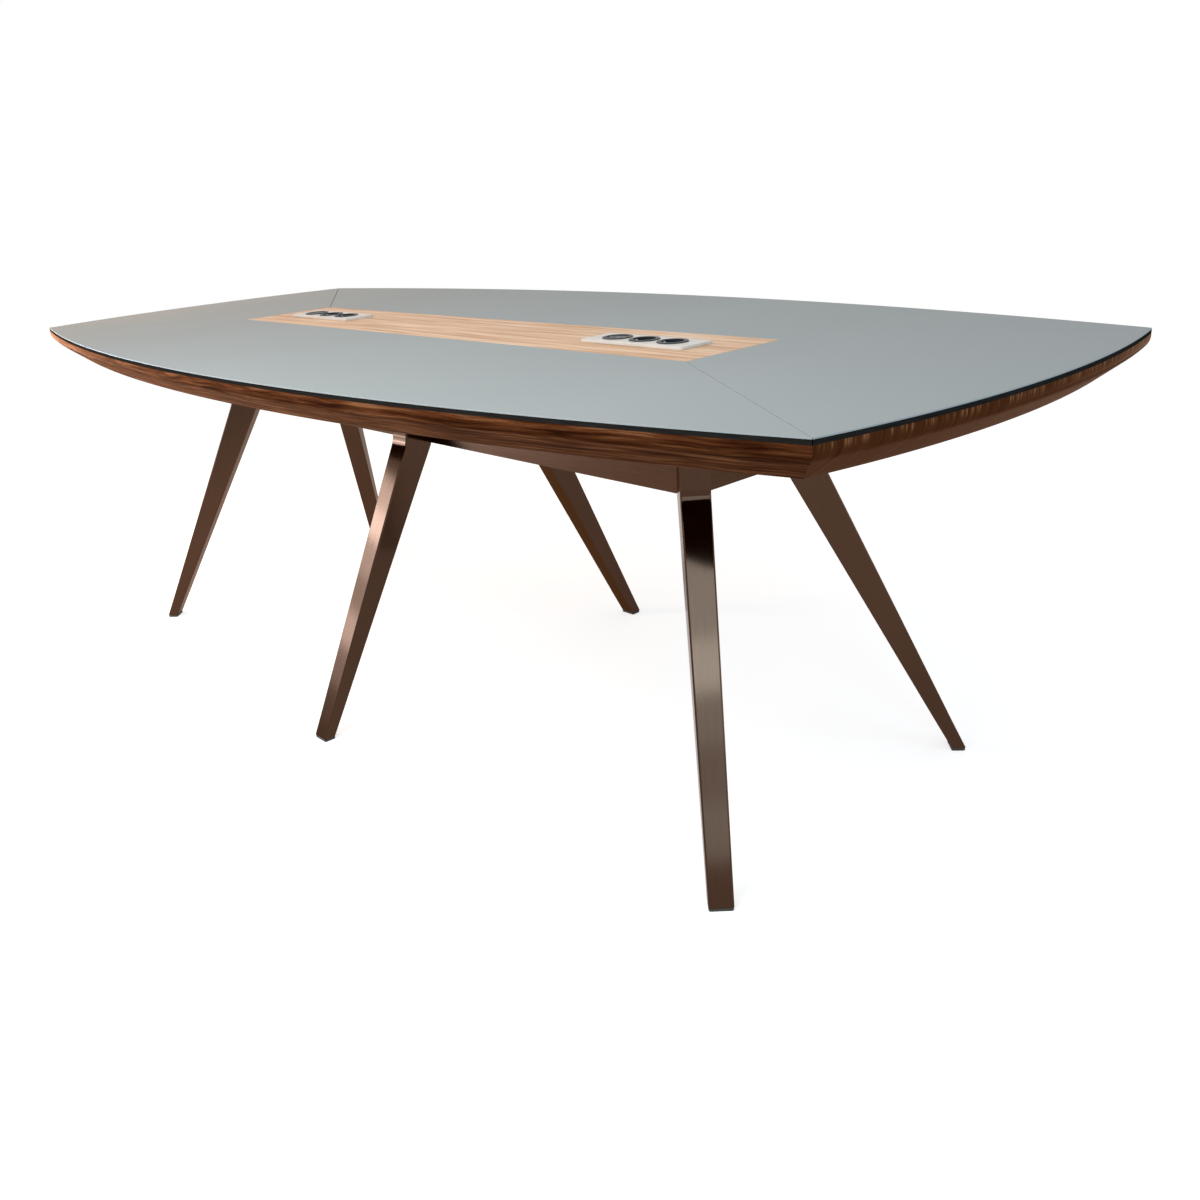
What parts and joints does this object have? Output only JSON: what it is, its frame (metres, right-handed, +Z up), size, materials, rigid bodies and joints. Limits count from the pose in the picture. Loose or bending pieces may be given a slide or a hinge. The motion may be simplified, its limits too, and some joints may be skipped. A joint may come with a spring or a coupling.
{
  "type": "conference table",
  "caption": "Boat-shaped conference table: mitred grey top panels, wood inlay with power modules, undercut wood edge and splayed tapered steel legs on levelling feet.",
  "frame": {"origin": "on the floor, under the middle of the table top", "axes": "+X along the table, +Y across it to the back long side, +Z up"},
  "size_m": [2.4, 1.145, 0.7571],
  "materials": {
    "grey_panel": "satin grey laminate with a dark core",
    "walnut": "satin lacquered brown striped veneer",
    "inlay_wood": "satin lacquered light striped veneer",
    "bronze_steel": "brushed bronze tint",
    "dark_steel": "matt dark",
    "zinc_steel": "zinc plated",
    "white_plastic": "satin white",
    "black_plastic": "satin black",
    "nylon": "matt dark nylon"
  },
  "bodies": {
    "table": {"top_board": "walnut", "center_inlay": "inlay_wood", "top_panel_front": "grey_panel", "top_panel_back": "grey_panel", "top_panel_left": "grey_panel", "top_panel_right": "grey_panel", "power_plate_left": "white_plastic", "power_socket_left_1": "black_plastic", "power_socket_left_2": "black_plastic", "data_insert_left": "black_plastic", "power_housing_left": "black_plastic", "cable_gland_left": "black_plastic", "end_rail_left": "bronze_steel", "power_plate_right": "white_plastic", "power_socket_right_1": "black_plastic", "power_socket_right_2": "black_plastic", "data_insert_right": "black_plastic", "power_housing_right": "black_plastic", "cable_gland_right": "black_plastic", "end_rail_right": "bronze_steel", "side_rail_front": "bronze_steel", "leg_backing_plate_front": "dark_steel", "side_rail_back": "bronze_steel", "leg_backing_plate_back": "dark_steel", "center_cross_rail": "bronze_steel", "corner_plate_front_left": "dark_steel", "corner_plate_front_right": "dark_steel", "corner_plate_back_left": "dark_steel", "corner_plate_back_right": "dark_steel", "leg_front_left": "bronze_steel", "leg_bolt_front_left_lower": "zinc_steel", "leg_bolt_front_left_upper": "zinc_steel", "leg_front_middle": "bronze_steel", "leg_bolt_front_middle_lower": "zinc_steel", "leg_bolt_front_middle_upper": "zinc_steel", "leg_front_right": "bronze_steel", "leg_bolt_front_right_lower": "zinc_steel", "leg_bolt_front_right_upper": "zinc_steel", "leg_back_left": "bronze_steel", "leg_bolt_back_left_lower": "zinc_steel", "leg_bolt_back_left_upper": "zinc_steel", "leg_back_middle": "bronze_steel", "leg_bolt_back_middle_lower": "zinc_steel", "leg_bolt_back_middle_upper": "zinc_steel", "leg_back_right": "bronze_steel", "leg_bolt_back_right_lower": "zinc_steel", "leg_bolt_back_right_upper": "zinc_steel"},
    "leveller_front_left": {"leveller_stud_front_left": "zinc_steel", "leveller_pad_front_left": "nylon"},
    "leveller_front_middle": {"leveller_stud_front_middle": "zinc_steel", "leveller_pad_front_middle": "nylon"},
    "leveller_front_right": {"leveller_stud_front_right": "zinc_steel", "leveller_pad_front_right": "nylon"},
    "leveller_back_left": {"leveller_stud_back_left": "zinc_steel", "leveller_pad_back_left": "nylon"},
    "leveller_back_middle": {"leveller_stud_back_middle": "zinc_steel", "leveller_pad_back_middle": "nylon"},
    "leveller_back_right": {"leveller_stud_back_right": "zinc_steel", "leveller_pad_back_right": "nylon"}
  },
  "joints": [
    {"name": "leveller_front_left_travel", "type": "slide", "parent": "table", "child": "leveller_front_left", "axis": [0, 0, -1], "range_m": [0, 0.008]},
    {"name": "leveller_front_middle_travel", "type": "slide", "parent": "table", "child": "leveller_front_middle", "axis": [0, 0, -1], "range_m": [0, 0.008]},
    {"name": "leveller_front_right_travel", "type": "slide", "parent": "table", "child": "leveller_front_right", "axis": [0, 0, -1], "range_m": [0, 0.008]},
    {"name": "leveller_back_left_travel", "type": "slide", "parent": "table", "child": "leveller_back_left", "axis": [0, 0, -1], "range_m": [0, 0.008]},
    {"name": "leveller_back_middle_travel", "type": "slide", "parent": "table", "child": "leveller_back_middle", "axis": [0, 0, -1], "range_m": [0, 0.008]},
    {"name": "leveller_back_right_travel", "type": "slide", "parent": "table", "child": "leveller_back_right", "axis": [0, 0, -1], "range_m": [0, 0.008]}
  ]
}
